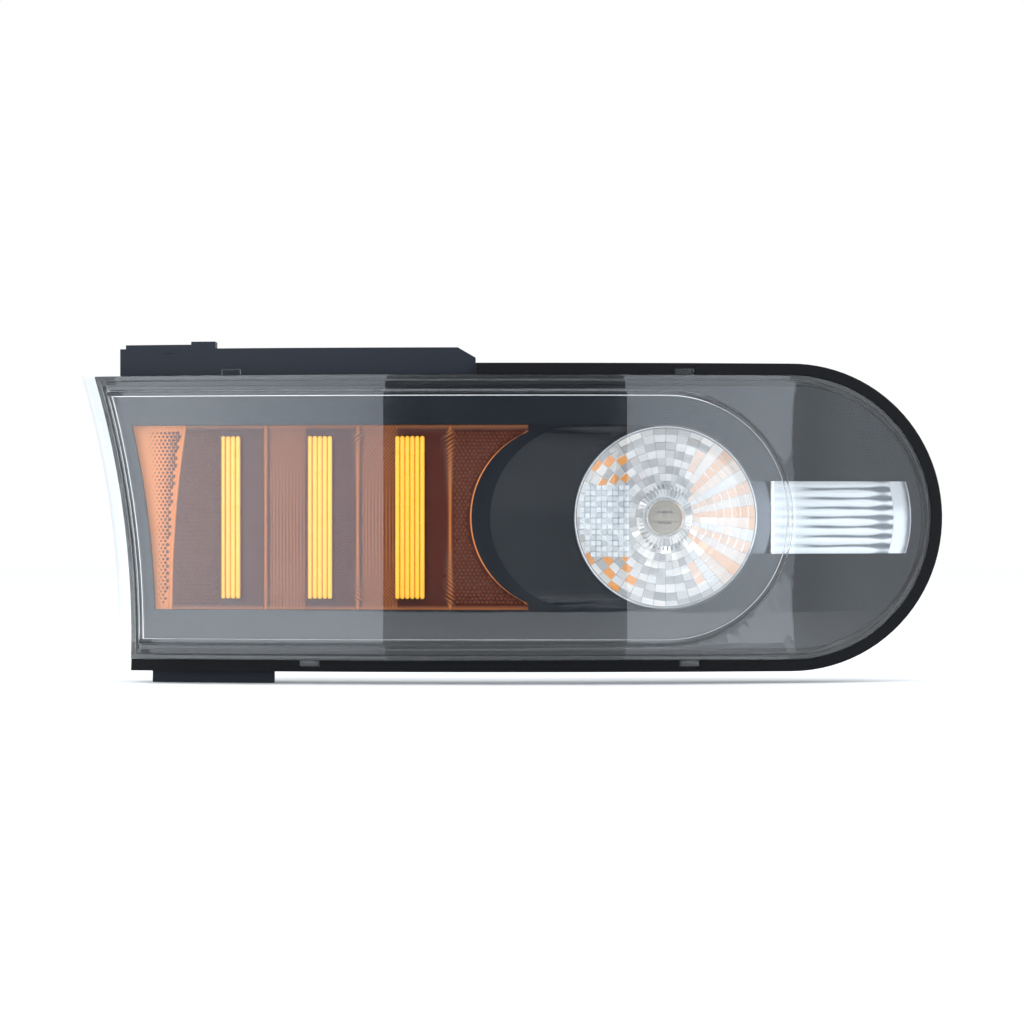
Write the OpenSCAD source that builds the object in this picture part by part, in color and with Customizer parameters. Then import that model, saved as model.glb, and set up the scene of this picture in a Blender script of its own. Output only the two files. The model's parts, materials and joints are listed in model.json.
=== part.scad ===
// Front corner lamp of a car: turn signal, side marker and clear end strip in one sealed housing.
// X runs along the lamp, Y rearwards and Z up. The modules are drawn from the turn-signal axis, with
// Y = 0 where the seam between lens and housing lies furthest forward, and the finished pieces are
// moved so that the origin is midway between the two upper bolts, on top of their bracket.
// Whatever follows the side of the car is bent about one upright axis (see "slab").

/* [Outline] */
// Half height of the lens flange, and radius of its round end
end_r = 72; // [70:1:87]
// Centre of the round end
end_x = 64.5; // [60:0.5:90]
// Concave inner edge
edge_x = -278; // [-340:1:-276]
// Radius of the concave inner edge
edge_r = 454; // [300:1:700]
// Height at which the concave edge is upright
edge_z = -60; // [-80:1:20]
// Radius of the bend in plan
wrap_r = 600; // [480:10:1200]
// Middle of the bend
wrap_x = -77; // [-120:1:-20]

/* [Lens] */
// Height of the raised front face over the seam
face_h = 26; // [23:0.5:30]
// Height of the lower tier over the seam
tier_h = 12; // [9:0.5:14]
// Step in from the flange to the raised face
face_in = 8; // [6.5:0.5:9]
// Step in from the flange to the lower tier
tier_in = 2.5; // [2:0.25:3.5]
// Step in of the housing under the flange, along the concave edge
edge_in = 6.5; // [4:0.5:10]
// Wall thickness of the lens
lens_t = 2.5; // [1.5:0.1:3]
// Thickness of the lens flange
flange_t = 3; // [2:0.5:4]
// Depth of the lens tongue in the housing groove
tongue = 5; // [3:0.5:6]

/* [Housing] */
// Wall thickness of the housing
wall = 2.5; // [2:0.1:3]
// Depth of the front tub behind the seam
tub_d = 24; // [22:1:30]
// Depth of the rear tub behind the seam
back_d = 42.5; // [40:0.5:56]
// Step in of the rear tub
back_in = 16; // [15.5:0.5:18]
// Width of the outer rim beyond the lens flange
rim_w = 6; // [4:0.5:10]
// Thickness of the outer rim
rim_t = 3; // [2:0.5:4]

/* [Optics] */
// Half height of the window, and radius of the turn-signal mouth
slot_r = 46.5; // [38:0.5:47.5]
// Depth of the turn-signal reflector's curve
dish_depth = 31; // [28:0.5:33]
// Gap between the lens and the bezel behind it
bezel_gap = 3; // [2:0.5:4]
// Recess of the amber panel behind the bezel
panel_in = 6; // [4:0.5:8]
// Half height of the clear strip
strip_h = 18.3; // [12:0.1:21]
// Width of each louvre of the amber panel
louvre_w = 46.5; // [38:0.5:50]
// Ribs on the three amber bars, inner edge first
bar_ribs = [4, 5, 6];
// Pitch of the ribs on the amber bars
rib_p = 2.5; // [2:0.1:2.7]
// Gap between the ends of the amber bars and the edge of the window
bar_end = 5.5; // [3.5:0.5:12]

/* [Bulb holders] */
// Bore that the turn-signal socket turns in
turn_bore_r = 17; // [16:0.5:18]
// Side-marker socket, from the turn-signal axis
marker_x = -170; // [-190:1:-155]
// Bore that the side-marker socket turns in
marker_bore_r = 10; // [9:0.5:12]
// Running clearance of a socket in its bore
socket_gap = 0.1; // [0.05:0.01:0.2]
// Turn of a socket between locked and free
twist = 45; // [30:1:50]

/* [Mounting] */
// Height of the upper bracket over the lens flange
top_h = 14; // [12:0.5:20]
// Depth of the lower bracket under the lens flange
foot_h = 12; // [9:0.5:16]
// Distance between the two upper bolt holes
bolt_gap = 120; // [100:1:130]
// Radius of the bolt holes
bolt_r = 3.3; // [2.5:0.1:4.5]
// Radius of the locating pin
pin_r = 4; // [3:0.1:5]
// Free length of the locating pin
pin_l = 16; // [10:1:24]

/* [Hidden] */
$fn = 96;
bend_fn = 360;
big = 400;                            // longer than the lamp, for cutting
fit = 0.3;                            // gap between neighbouring pieces
seat = 0.1;                           // gap between curved faces that rest on each other
skin = 1.6;                           // wall of the thin inner mouldings
bezel_t = 2;
panel_t = 2.5;
plate_t = 2.5;
post_r = 2.6;
pilot_r = 1.3;
screw_r = 1.25;
head_r = 2.6;
clear_r = 1.8;                        // hole that a screw passes through
boss_t = 13;                          // length of a socket bore
gasket_t = 2;
lug_t = 3;
lug_reach = 3;                        // lug beyond the bore
lug_w = 8.4;
slots = [60, 180, 300];               // where the lugs pass in and out

// Steps in from the lens flange, front to back
groove_in = tier_in - 0.5;
groove_w = lens_t + 1;
groove_d = tongue + 2;
inner_in = groove_in + groove_w;      // outside of the groove's inner wall
hollow_in = inner_in + wall;
face_edge = edge_in + 5;              // raised face along the concave edge
bezel_in = face_in + lens_t + 1;
bezel_edge = face_edge + lens_t + 1;
low_bezel_in = tier_in + lens_t + 1;
window_edge = edge_in + 13.5;

// Depths behind the seam
bezel_y = -face_h + lens_t + bezel_gap;
low_bezel_y = -tier_h + lens_t + 2;
panel_y = bezel_y + panel_in;
tray_y = tub_d - 4.5;                 // back of the side-marker reflector
strip_y = low_bezel_y + bezel_t;      // front of the strip lens
strip_back_y = strip_y + 17;

// Places along the lamp
bite_x = -51;                         // centre of the round bite in the amber panel
land_w = 9;                           // flat land between the bite and the scoop
scoop_x = bite_x + land_w;
panel_end = bite_x - 18;
step_x = bite_x - 57.5;               // end of the last louvre
bar_back = 12.7;                      // from a louvre's end back to its bar
strip_end_in = 11;                    // strip's step in from the round end
upper_x = [edge_x, step_x + 12.5];    // ends of the upper bracket
lower_x = [edge_x + 17, edge_x + 80]; // ends of the lower bracket
upper_screws = [upper_x[0] + 54, upper_x[1] - 24];
lower_screws = [lower_x[0] + 10, lower_x[1] - 10];
bolt_x = (upper_x[0] + upper_x[1]) / 2 - 3;
lower_bolt_x = (lower_x[0] + lower_x[1]) / 2;
pin_x = end_x + 27.5;
bezel_posts = [for (x = [edge_x + 46, -118, 34]) for (s = [1, -1]) [x, s]];
ear_angles = [35, 145, 215, 325];
tab_places = [[9.5, 1], [edge_x + 58, 1], [12, -1], [edge_x + 98, -1]];
vent_places = [[-60, 30], [-60, -30]];
pad_x = [edge_x + 3, edge_x + 37, edge_x + 49.5];

// Setback of the bent surfaces at a place along the lamp, and the most of it within r
function sag(x) = wrap_r - sqrt(wrap_r * wrap_r - (x - wrap_x) * (x - wrap_x));
function reach(x, r) = max(sag(x - r), sag(x + r));
function boss_y(x, r) = reach(x, r) + back_d + 2;

post_z = end_r - back_in + head_r + fit;
turn_y = boss_y(0, turn_bore_r + 8);
marker_y = boss_y(marker_x, marker_bore_r + 8);
pin_y = boss_y(pin_x, 9);
apex_y = turn_y - boss_t - 6;         // back of the reflector's curve
dish_r = slot_r - 0.5;
focal = dish_r * dish_r / (4 * dish_depth);
function dish(r) = apex_y - r * r / (4 * focal);
dish_hole = 13;
mouth_y = dish(dish_r);
ear_r = slot_r + 3.5;
ear_x = ear_r * cos(ear_angles[0]);
ring_r = ear_r + post_r + 0.5;        // outside of the reflector's flange
turn_glass_r = 10;
marker_glass_r = 5;
top_z = end_r + top_h;
bottom_z = -end_r - foot_h;
bush_r = bolt_r + 1.7;
bracket_y = [4, 24];                  // brackets, behind the seam
bolt_y = sag(bolt_x - bolt_gap / 2) + 14;
lower_bolt_y = sag(lower_bolt_x) + 14;
origin = [bolt_x, bolt_y, top_z];

// ---------- shared shapes ----------

// Front view: half height h, concave edge stepped in by e, round end centred on cx
module outline(h, e, cx) {
  left = edge_x - 60;
  difference() {
    union() {
      translate([cx, 0]) circle(r = h);
      translate([left, -h]) square([cx - left, 2 * h]);
    }
    translate([edge_x - edge_r, edge_z]) circle(r = edge_r + e, $fn = bend_fn);
  }
}

module prism(h, e, cx = end_x)
  rotate([90, 0, 0]) linear_extrude(height = big, center = true) outline(h, e, cx);

// Everything between two bent surfaces, measured back from the seam
module slab(front, back)
  linear_extrude(height = big, center = true) difference() {
    translate([wrap_x, front + wrap_r]) circle(r = wrap_r, $fn = bend_fn);
    translate([wrap_x, back + wrap_r]) circle(r = wrap_r, $fn = bend_fn);
  }

module layer(front, back, h, e, cx = end_x) {
  intersection() {
    slab(front, back);
    prism(h, e, cx);
  }
}

// Frame of one layer: outer half height h and step e, with a wall w
module frame_layer(front, back, h, e, w, cx = end_x) {
  difference() {
    layer(front, back, h, e, cx);
    prism(h - w, e + w, cx);
  }
}

module box(x, y, z) translate([x[0], y[0], z[0]]) cube([x[1] - x[0], y[1] - y[0], z[1] - z[0]]);

// A box that follows the bend between front and back
module bent_box(x, y, z) {
  intersection() {
    slab(y[0], y[1]);
    box(x, [-big, big], z);
  }
}

// Round bar along Y
module rod(x, z, y, r) translate([x, y[0], z]) rotate([-90, 0, 0]) cylinder(r = r, h = y[1] - y[0]);

module tube(x, z, y, r, bore) {
  difference() {
    rod(x, z, y, r);
    rod(x, z, [y[0] - 1, y[1] + 1], bore);
  }
}

// Round bar along Z
module upright(x, y, z, r) translate([x, y, z[0]]) cylinder(r = r, h = z[1] - z[0]);

// Pan-head screw, driven towards -Z, its head seated on Z = 0
module screw(l) {
  difference() {
    union() {
      cylinder(r = head_r, h = 2);
      translate([0, 0, -l]) cylinder(r = screw_r, h = l);
    }
    for (a = [0, 90]) rotate([0, 0, a]) translate([-1.6, -0.35, 1]) cube([3.2, 0.7, 2]);
  }
}

module screw_from_back(x, z, y, l) translate([x, y, z]) rotate([-90, 0, 0]) screw(l);

// Key slots of a bore, or the lugs that pass through them, between two radii
module keys(x, y, r, w, angles) {
  for (a = angles) translate([x, 0, 0]) rotate([0, a, 0]) box(r, y, [-w / 2, w / 2]);
}

// ---------- housing ----------

// Where the rim runs: all round the round end, and beyond height z elsewhere
module rim_region(z) {
  box([0, big], [-big, big], [-big, big]);
  box([upper_x[1], 1], [-big, big], [z, big]);
  box([edge_x + 5, 1], [-big, big], [-big, -z]);
}

module bracket_boss(x, s) {
  z = [end_r - inner_in - 2, end_r];
  upright(x, sag(x) + 16, s > 0 ? z : [-z[1], -z[0]], 4);
}

module rear_ribs() {
  x = [edge_x + 53, edge_x + 83, -138, -90, 7 - ear_x, ear_x - 7, end_x - 8];
  z = end_r - back_in - 2;
  for (i = x) bent_box([i - 1, i + 1], [back_d - 1, back_d + 3], [-z, z]);
  for (s = [-1, 1]) intersection() {
    layer(back_d - 1, back_d + 3, z, edge_in + back_in + 2);
    box([-big, big], [-big, big], [s * 40 - 1, s * 40 + 1]);
  }
}

module keyed_bore(x, y, bore) {
  cut = [y - boss_t - 1, y + 1];
  rod(x, 0, cut, bore);
  keys(x, cut, [bore - 2, bore + lug_reach + 0.4], lug_w + 0.6, slots);
}

module housing() {
  color([0.09, 0.09, 0.1]) difference() {
    union() {
      difference() {
        union() {
          layer(fit, groove_d + wall, end_r, edge_in);
          layer(groove_d, tub_d, end_r - inner_in, edge_in + inner_in);
          layer(tub_d - wall, back_d, end_r - back_in, edge_in + back_in);
          intersection() {
            frame_layer(fit, fit + rim_t, end_r + rim_w, edge_in, rim_w + 1);
            rim_region(end_r - 1);
          }
          for (x = upper_screws) bracket_boss(x, 1);
          for (x = lower_screws) bracket_boss(x, -1);
          rear_ribs();
        }
        layer(-1, tub_d - wall, end_r - hollow_in, edge_in + hollow_in);
        layer(-1, back_d - wall, end_r - back_in - wall, edge_in + back_in + wall);
        frame_layer(-1, groove_d, end_r - groove_in, edge_in + groove_in, groove_w);
      }
      rod(0, 0, [turn_y - boss_t, turn_y], turn_bore_r + 8);
      rod(marker_x, 0, [marker_y - boss_t, marker_y], marker_bore_r + 8);
      rod(pin_x, 0, [pin_y - 12, pin_y], 9);
      for (v = vent_places) rod(v[0], v[1], [sag(v[0]) + back_d - 1, sag(v[0]) + back_d + 11], 4);
    }
    keyed_bore(0, turn_y, turn_bore_r);
    keyed_bore(marker_x, marker_y, marker_bore_r);
    rod(pin_x, 0, [pin_y - 8, pin_y + 1], 3);
    for (v = vent_places) rod(v[0], v[1], [sag(v[0]) + back_d - 6, sag(v[0]) + back_d + 12], 2.5);
    for (p = bezel_posts) rod(p[0], p[1] * post_z, [sag(p[0]) + 12, sag(p[0]) + tub_d + 5], clear_r);
    for (a = ear_angles) rod(ear_r * cos(a), ear_r * sin(a), [mouth_y + 20, big], clear_r);
    for (x = upper_screws) upright(x, sag(x) + 16, [end_r - 7, end_r + 1], pilot_r);
    for (x = lower_screws) upright(x, sag(x) + 16, [-end_r - 1, -end_r + 7], pilot_r);
  }
}

// ---------- lens and seals ----------

// Snap tab on the lens flange, or with grow the window for it
module lens_tab(x, s, y, grow = 0) {
  z = [end_r - 1, end_r + 3.5 + grow];
  w = 5 + grow;
  bent_box([x - w, x + w], y, s > 0 ? z : [-z[1], -z[0]]);
}

module lens_cover() {
  color([0.85, 0.9, 0.92, 0.35]) difference() {
    union() {
      layer(-face_h, tongue, end_r - face_in, face_edge, 0);
      layer(-tier_h, tongue, end_r - tier_in, edge_in + tier_in);
      layer(-flange_t, 0, end_r, 0);
      for (t = tab_places) lens_tab(t[0], t[1], [-2, 0]);
    }
    layer(-face_h + lens_t, tongue + 1, end_r - face_in - lens_t, face_edge + lens_t, 0);
    layer(-tier_h + lens_t, tongue + 1, end_r - tier_in - lens_t, edge_in + tier_in + lens_t);
  }
}

module lens_seal() {
  color([0.15, 0.15, 0.16])
    frame_layer(tongue + seat, groove_d - seat, end_r - groove_in - seat, edge_in + groove_in + seat,
                groove_w - 2 * seat);
}

module rim_gasket() {
  color([0.03, 0.03, 0.035]) difference() {
    intersection() {
      frame_layer(-flange_t, fit - seat, end_r + rim_w, edge_in, rim_w - fit);
      rim_region(end_r + fit / 2);
    }
    for (t = tab_places) lens_tab(t[0], t[1], [-flange_t - 1, fit + 1], fit);
    box([upper_x[1] - 1, upper_x[1] + fit], [-big, big], [0, big]);
  }
}

// ---------- bezel and optics ----------

// Oblique round scoop from the land beside the amber panel back to the turn reflector
module scoop(front, grow) {
  hull() {
    rod(scoop_x, 0, [front, panel_y], slot_r + grow, $fn = 64);
    rod(0, 0, [front, mouth_y - 1.5], slot_r + grow - 0.1, $fn = 64);
  }
}

module strip_region(grow) {
  intersection() {
    box([dish_r - 10, end_x + end_r], [-big, big], [-strip_h - grow, strip_h + grow]);
    prism(end_r - strip_end_in + grow, 0);
  }
}

module bezel_skin() {
  raised = end_r - bezel_in;
  layer(bezel_y, bezel_y + bezel_t, raised, bezel_edge, 0);
  frame_layer(bezel_y, low_bezel_y + bezel_t, raised, bezel_edge, skin, 0);
  difference() {
    layer(low_bezel_y, low_bezel_y + bezel_t, end_r - low_bezel_in, edge_in + low_bezel_in);
    prism(raised - skin, bezel_edge + skin, 0);
  }
}

module bezel() {
  color([0.07, 0.07, 0.08]) difference() {
    union() {
      bezel_skin();
      frame_layer(bezel_y, panel_y + panel_t, slot_r + skin, window_edge - skin, skin, 0);
      intersection() {
        slab(bezel_y, big / 2);
        union() {
          rod(0, 0, [bezel_y, mouth_y - 1.5], slot_r + skin);
          scoop(panel_y - 1, skin);
        }
      }
      intersection() {
        layer(panel_y - bezel_t, panel_y, slot_r + 0.5, window_edge, 0);
        union() {
          rod(bite_x, 0, [-big, big], slot_r + 0.4);
          box([panel_end - 0.4, 0], [-big, big], [-big, big]);
        }
      }
      difference() {
        intersection() {
          layer(bezel_y, strip_y, end_r - bezel_in, bezel_edge, 0);
          strip_region(skin);
          box([dish_r, big], [-big, big], [-big, big]);
        }
        rod(0, 0, [mouth_y - fit, big], ring_r + fit);
      }
      for (p = bezel_posts)
        rod(p[0], p[1] * post_z, [sag(p[0]) + low_bezel_y + 1, sag(p[0]) + tub_d - wall - 1], post_r);
    }
    layer(-face_h, panel_y - bezel_t, slot_r, window_edge, 0);
    scoop(panel_y - bezel_t - 1, 0);
    rod(0, 0, [-face_h, mouth_y], slot_r);
    strip_region(0);
    for (p = bezel_posts)
      rod(p[0], p[1] * post_z, [sag(p[0]) + tub_d - 16, sag(p[0]) + tub_d], pilot_r);
  }
}

module turn_reflector() {
  n = 14;
  radii = [for (i = [0:n]) dish_hole + (dish_r - dish_hole) * i / n];
  inner = [for (r = radii) [r, dish(r)]];
  outer = [for (i = [n:-1:0]) [radii[i] + 1.2, dish(radii[i]) + 2]];
  color([0.85, 0.86, 0.88]) difference() {
    union() {
      rotate([-90, 0, 0]) rotate_extrude() polygon(concat(inner, outer));
      tube(0, 0, [mouth_y, mouth_y + 1.5], ring_r, dish_r - 0.5);
      for (a = ear_angles) {
        x = ear_r * cos(a);
        rod(x, ear_r * sin(a), [mouth_y, sag(x) + back_d - wall - 1.5], post_r);
      }
    }
    for (a = ear_angles) rod(ear_r * cos(a), ear_r * sin(a), [mouth_y + 12, big], pilot_r);
  }
}

// Domed disc whose back meets the reflector's flange just inside its own rim
module inner_lens() {
  dome_r = 140;
  back_r = dome_r - 2.5;
  rim = slot_r - 0.4;
  dome_y = mouth_y + sqrt(back_r * back_r - (rim - 1) * (rim - 1));
  color([0.9, 0.93, 0.95, 0.3]) intersection() {
    difference() {
      translate([0, dome_y, 0]) sphere(r = dome_r, $fn = 180);
      translate([0, dome_y, 0]) sphere(r = back_r, $fn = 180);
    }
    rod(0, 0, [-big, mouth_y], rim);
  }
}

module strip_block(front, back, grow) {
  intersection() {
    slab(front, back);
    strip_region(grow);
    box([ring_r + fit + 2 - grow, big], [-big, big], [-big, big]);
  }
}

module strip_lens() {
  color([0.9, 0.93, 0.95, 0.4]) strip_block(strip_y + seat, strip_y + 2, 2);
}

module strip_reflector() {
  color([0.8, 0.81, 0.83]) difference() {
    strip_block(strip_y + 2 + seat, strip_back_y, 2);
    strip_block(strip_y + 1, strip_back_y - skin, 2 - skin);
  }
}

module louvre_ridge(x) {
  bent_box([x - 1, x + 1], [panel_y - 1.5, panel_y + 1], [-slot_r + 1.5, slot_r - 1.5]);
}

module amber_lens() {
  h = slot_r - fit;
  e = window_edge + fit;
  color([0.85, 0.33, 0.08, 0.85]) difference() {
    union() {
      layer(panel_y + seat, panel_y + panel_t, h, e, 0);
      for (i = [0:2]) louvre_ridge(step_x - i * louvre_w);
      frame_layer(panel_y - 1.5, panel_y + 1, h - 1.2, step_x - 3 * louvre_w - edge_x, 2, 0);
    }
    rod(bite_x, 0, [-big, big], slot_r);
    box([panel_end, big], [-big, big], [-big, big]);
    difference() {
      layer(panel_y - 2, panel_y, slot_r, 0, 0);
      box([-big, step_x + 2], [-big, big], [-slot_r + 1.5, slot_r - 1.5]);
    }
  }
}

// One fluted bar in front of the amber panel
module amber_bar(i) {
  ribs = bar_ribs[i];
  x1 = step_x - (2 - i) * louvre_w - bar_back;
  x0 = x1 - ribs * rib_p;
  h = slot_r - bar_end;
  bent_box([x0, x1], [panel_y - 2.6, panel_y], [1 - h, h - 1]);
  for (k = [0:ribs - 1]) {
    x = x0 + (k + 0.5) * rib_p;
    upright(x, sag(x) + panel_y - 2.6, [-h, h], rib_p / 2);
  }
}

module amber_bar_inner() color([1, 0.75, 0.1]) amber_bar(0);
module amber_bar_middle() color([1, 0.75, 0.1]) amber_bar(1);
module amber_bar_outer() color([1, 0.75, 0.1]) amber_bar(2);

module marker_reflector() {
  h = slot_r - 1;
  e = window_edge + 1;
  color([0.85, 0.5, 0.25]) difference() {
    intersection() {
      layer(panel_y + panel_t + seat, tray_y, h, e, 0);
      box([-big, step_x], [-big, big], [-big, big]);
    }
    intersection() {
      layer(panel_y, tray_y - skin, h - skin, e + skin, 0);
      box([-big, step_x - skin], [-big, big], [-big, big]);
    }
    rod(marker_x, 0, [0, big], marker_glass_r + 2);
  }
}

// ---------- brackets and fixings ----------

// Plate that reaches back from a bracket to a bolt
module bolt_ear(x, y, z) {
  upright(x, y, z, bush_r + 5);
  box([x - bush_r - 5, x + bush_r + 5], [min(sag(x) + 10, y - 1), y], z);
}

module upper_bracket() {
  base = [end_r + fit, end_r + fit + plate_t];
  top = [top_z - plate_t, top_z];
  slope = 9;
  color([0.12, 0.13, 0.15]) difference() {
    union() {
      bent_box(upper_x, bracket_y, base);
      bent_box(upper_x, [bracket_y[0], bracket_y[0] + 3], [base[0], top_z]);
      bent_box([upper_x[0], upper_x[1] - slope], bracket_y, top);
      for (x = upper_x) {
        w = x == upper_x[0] ? [x, x + 2] : [x - 2, x];
        bent_box(w, bracket_y, [base[0], top_z]);
      }
      for (x = [bolt_x - 30, bolt_x, bolt_x + 30]) bent_box([x - 1, x + 1], bracket_y, [base[0], top_z]);
      for (s = [-0.5, 0.5]) bolt_ear(bolt_x + s * bolt_gap, bolt_y, top);
      bent_box([pad_x[0], pad_x[1] + 1], bracket_y, [top_z - 1, top_z + 2]);
      bent_box([pad_x[1], pad_x[2]], bracket_y, [top_z - 1, top_z + 3.5]);
    }
    translate([upper_x[1] - slope, 0, top_z]) rotate([0, 30, 0]) box([0, 30], [-big, big], [0, 20]);
    for (s = [-0.5, 0.5]) upright(bolt_x + s * bolt_gap, bolt_y, [base[1] + 1, big], bush_r);
    for (x = upper_screws) {
      upright(x, sag(x) + 16, [end_r - 1, top_z + 9], clear_r);
      upright(x, sag(x) + 16, [base[1], top_z + 9], 4);
    }
  }
}

module lower_bracket() {
  base = [-end_r - fit - plate_t, -end_r - fit];
  color([0.1, 0.1, 0.12]) difference() {
    union() {
      bent_box([lower_x[0], lower_x[1]], bracket_y, base);
      bent_box([lower_x[0], lower_x[1]], [bracket_y[0], bracket_y[0] + 3], [bottom_z, base[1]]);
      bent_box([lower_x[0] + 19, lower_x[1] - 19], bracket_y, [bottom_z, bottom_z + plate_t]);
      for (x = [lower_x[0] + 19, lower_x[1] - 21]) bent_box([x, x + 2], bracket_y, [bottom_z, base[1]]);
    }
    upright(lower_bolt_x, lower_bolt_y, [-big, base[0] - 1], bush_r);
    for (x = lower_screws) upright(x, sag(x) + 16, [-big, -end_r + 1], clear_r);
  }
}

module bezel_screws() {
  color([0.7, 0.7, 0.72]) for (p = bezel_posts)
    screw_from_back(p[0], p[1] * post_z, reach(p[0], head_r) + tub_d, 12);
}

module reflector_screws() {
  color([0.7, 0.7, 0.72]) for (a = ear_angles) {
    x = ear_r * cos(a);
    screw_from_back(x, ear_r * sin(a), reach(x, head_r) + back_d, 12);
  }
}

module bracket_screws() {
  seat = end_r + fit + plate_t;
  color([0.7, 0.7, 0.72]) {
    for (x = upper_screws) translate([x, sag(x) + 16, seat]) screw(8);
    for (x = lower_screws) translate([x, sag(x) + 16, -seat]) rotate([180, 0, 0]) screw(8);
  }
}

module bolt_bush(x, y, z) {
  difference() {
    upright(x, y, z, bush_r - 0.05);
    upright(x, y, [z[0] - 1, z[1] + 1], bolt_r);
  }
}

module bolt_bushes() {
  color([0.75, 0.72, 0.6]) {
    for (s = [-0.5, 0.5]) bolt_bush(bolt_x + s * bolt_gap, bolt_y, [top_z - plate_t, top_z]);
    bolt_bush(lower_bolt_x, lower_bolt_y, [bottom_z, bottom_z + plate_t]);
  }
}

module locating_pin() {
  color([0.9, 0.9, 0.88]) {
    rod(pin_x, 0, [pin_y - 7, pin_y + 1], 2.95);
    rod(pin_x, 0, [pin_y, pin_y + 2], 7);
    rod(pin_x, 0, [pin_y + 1, pin_y + 2 + pin_l], pin_r);
    translate([pin_x, pin_y + 2 + pin_l, 0]) rotate([-90, 0, 0]) cylinder(r1 = pin_r, r2 = pin_r - 2, h = 3);
  }
}

module vent_caps() {
  color([0.05, 0.05, 0.05]) for (v = vent_places) {
    y = sag(v[0]) + back_d + 11;
    tube(v[0], v[1], [y - 6, y + 0.2], 5.5, 4.05);
    rod(v[0], v[1], [y + 0.2, y + 2], 5.5);
  }
}

module vent_filters() {
  color([0.9, 0.9, 0.9]) for (v = vent_places)
    rod(v[0], v[1], [sag(v[0]) + back_d + 6, sag(v[0]) + back_d + 8], 2.45);
}

// ---------- bulb holders ----------

// Twist-lock socket at (x, 0), its bore ending at y, holding a bulb of radius hold_r
module twist_socket(x, y, bore, hold_r, shroud) {
  seat = y + 0.1 + gasket_t;
  nose = y - boss_t - fit - lug_t;
  back = seat + 3;
  difference() {
    union() {
      rod(x, 0, [nose - 2, y - boss_t + 1], hold_r + 3);
      rod(x, 0, [nose - 0.5, seat + 1], bore - socket_gap);
      keys(x, [nose, nose + lug_t], [bore - 2, bore + lug_reach], lug_w, [for (a = slots) a - twist]);
      rod(x, 0, [seat, back], bore + 6);
      box([x - shroud[0] / 2, x + shroud[0] / 2], [back - 1, back + 20], [-shroud[1] / 2, shroud[1] / 2]);
      for (s = [-1, 1]) box([x - 1.5, x + 1.5], [back - 1, back + 12], s > 0 ? [0, bore + 4] : [-bore - 4, 0]);
    }
    rod(x, 0, [nose - 3, y - 9], hold_r);
    box([x - shroud[0] / 2 + 1.8, x + shroud[0] / 2 - 1.8], [back + 6, back + 21],
        [-shroud[1] / 2 + 1.8, shroud[1] / 2 - 1.8]);
  }
}

// Face seal under a socket's flange
module twist_gasket(x, y, bore) tube(x, 0, [y + 0.1, y + 0.1 + gasket_t], bore + 5.5, bore);

// Blades standing in the shroud
module blades(x, y, pitch, count) {
  start = y + 0.1 + gasket_t + 9;
  for (k = [0:count - 1]) {
    c = x + (k - (count - 1) / 2) * pitch;
    box([c - 1.4, c + 1.4], [start, start + 9], [-0.4, 0.4]);
  }
}

module turn_socket() color([0.28, 0.28, 0.3]) twist_socket(0, turn_y, turn_bore_r, turn_glass_r + 1.3, [26, 15]);
module turn_gasket() color([0.1, 0.1, 0.1]) twist_gasket(0, turn_y, turn_bore_r);
module turn_terminals() color([0.8, 0.65, 0.3]) blades(0, turn_y, 6, 3);

module turn_bulb_base() {
  top = turn_y - boss_t - 9;
  color([0.2, 0.2, 0.22]) {
    rod(0, 0, [top, turn_y - 9], turn_glass_r + 1);
    box([-8, 8], [top - 2.5, top + 1], [-2, 2]);
  }
}

module turn_bulb_glass() {
  top = turn_y - boss_t - 9;
  tip = apex_y - focal - 12;
  color([0.95, 0.95, 0.95, 0.3]) difference() {
    bulb_solid(0, tip, top, turn_glass_r);
    bulb_solid(0, tip + 0.8, top + 1, turn_glass_r - 0.8);
  }
}

// Round-ended glass from its tip back to y1
module bulb_solid(x, tip, y1, r) {
  rod(x, 0, [tip + r, y1], r);
  translate([x, tip + r, 0]) sphere(r = r);
}

// A coil across two wires standing on y1
module filament(x, y, y1, z, half) {
  for (s = [-1, 1]) rod(x + s * half, z, [y, y1], 0.35);
  translate([x - half - 0.35, y, z]) rotate([0, 90, 0]) cylinder(r = 0.6, h = 2 * half + 0.7);
}

module turn_bulb_filaments() {
  top = turn_y - boss_t - 9;
  color([0.5, 0.5, 0.5]) {
    filament(0, apex_y - focal, top, 2.8, 3.5);
    filament(0, apex_y - focal + 3, top, -2.8, 3);
  }
}

module marker_socket()
  color([0.28, 0.28, 0.3]) twist_socket(marker_x, marker_y, marker_bore_r, marker_glass_r + 0.2, [18, 13.5]);
module marker_gasket() color([0.1, 0.1, 0.1]) twist_gasket(marker_x, marker_y, marker_bore_r);
module marker_terminals() color([0.8, 0.65, 0.3]) blades(marker_x, marker_y, 5, 2);

module marker_bulb_glass() {
  tip = marker_y - boss_t - 28;
  foot = marker_y - 9;
  color([0.95, 0.95, 0.95, 0.3]) difference() {
    bulb_solid(marker_x, tip, foot, marker_glass_r);
    bulb_solid(marker_x, tip + 0.7, foot - 8, marker_glass_r - 0.7);
  }
}

module marker_bulb_filament() {
  color([0.5, 0.5, 0.5]) filament(marker_x, marker_y - boss_t - 18, marker_y - 17, 0, 2);
}

// ---------- output ----------

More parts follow.
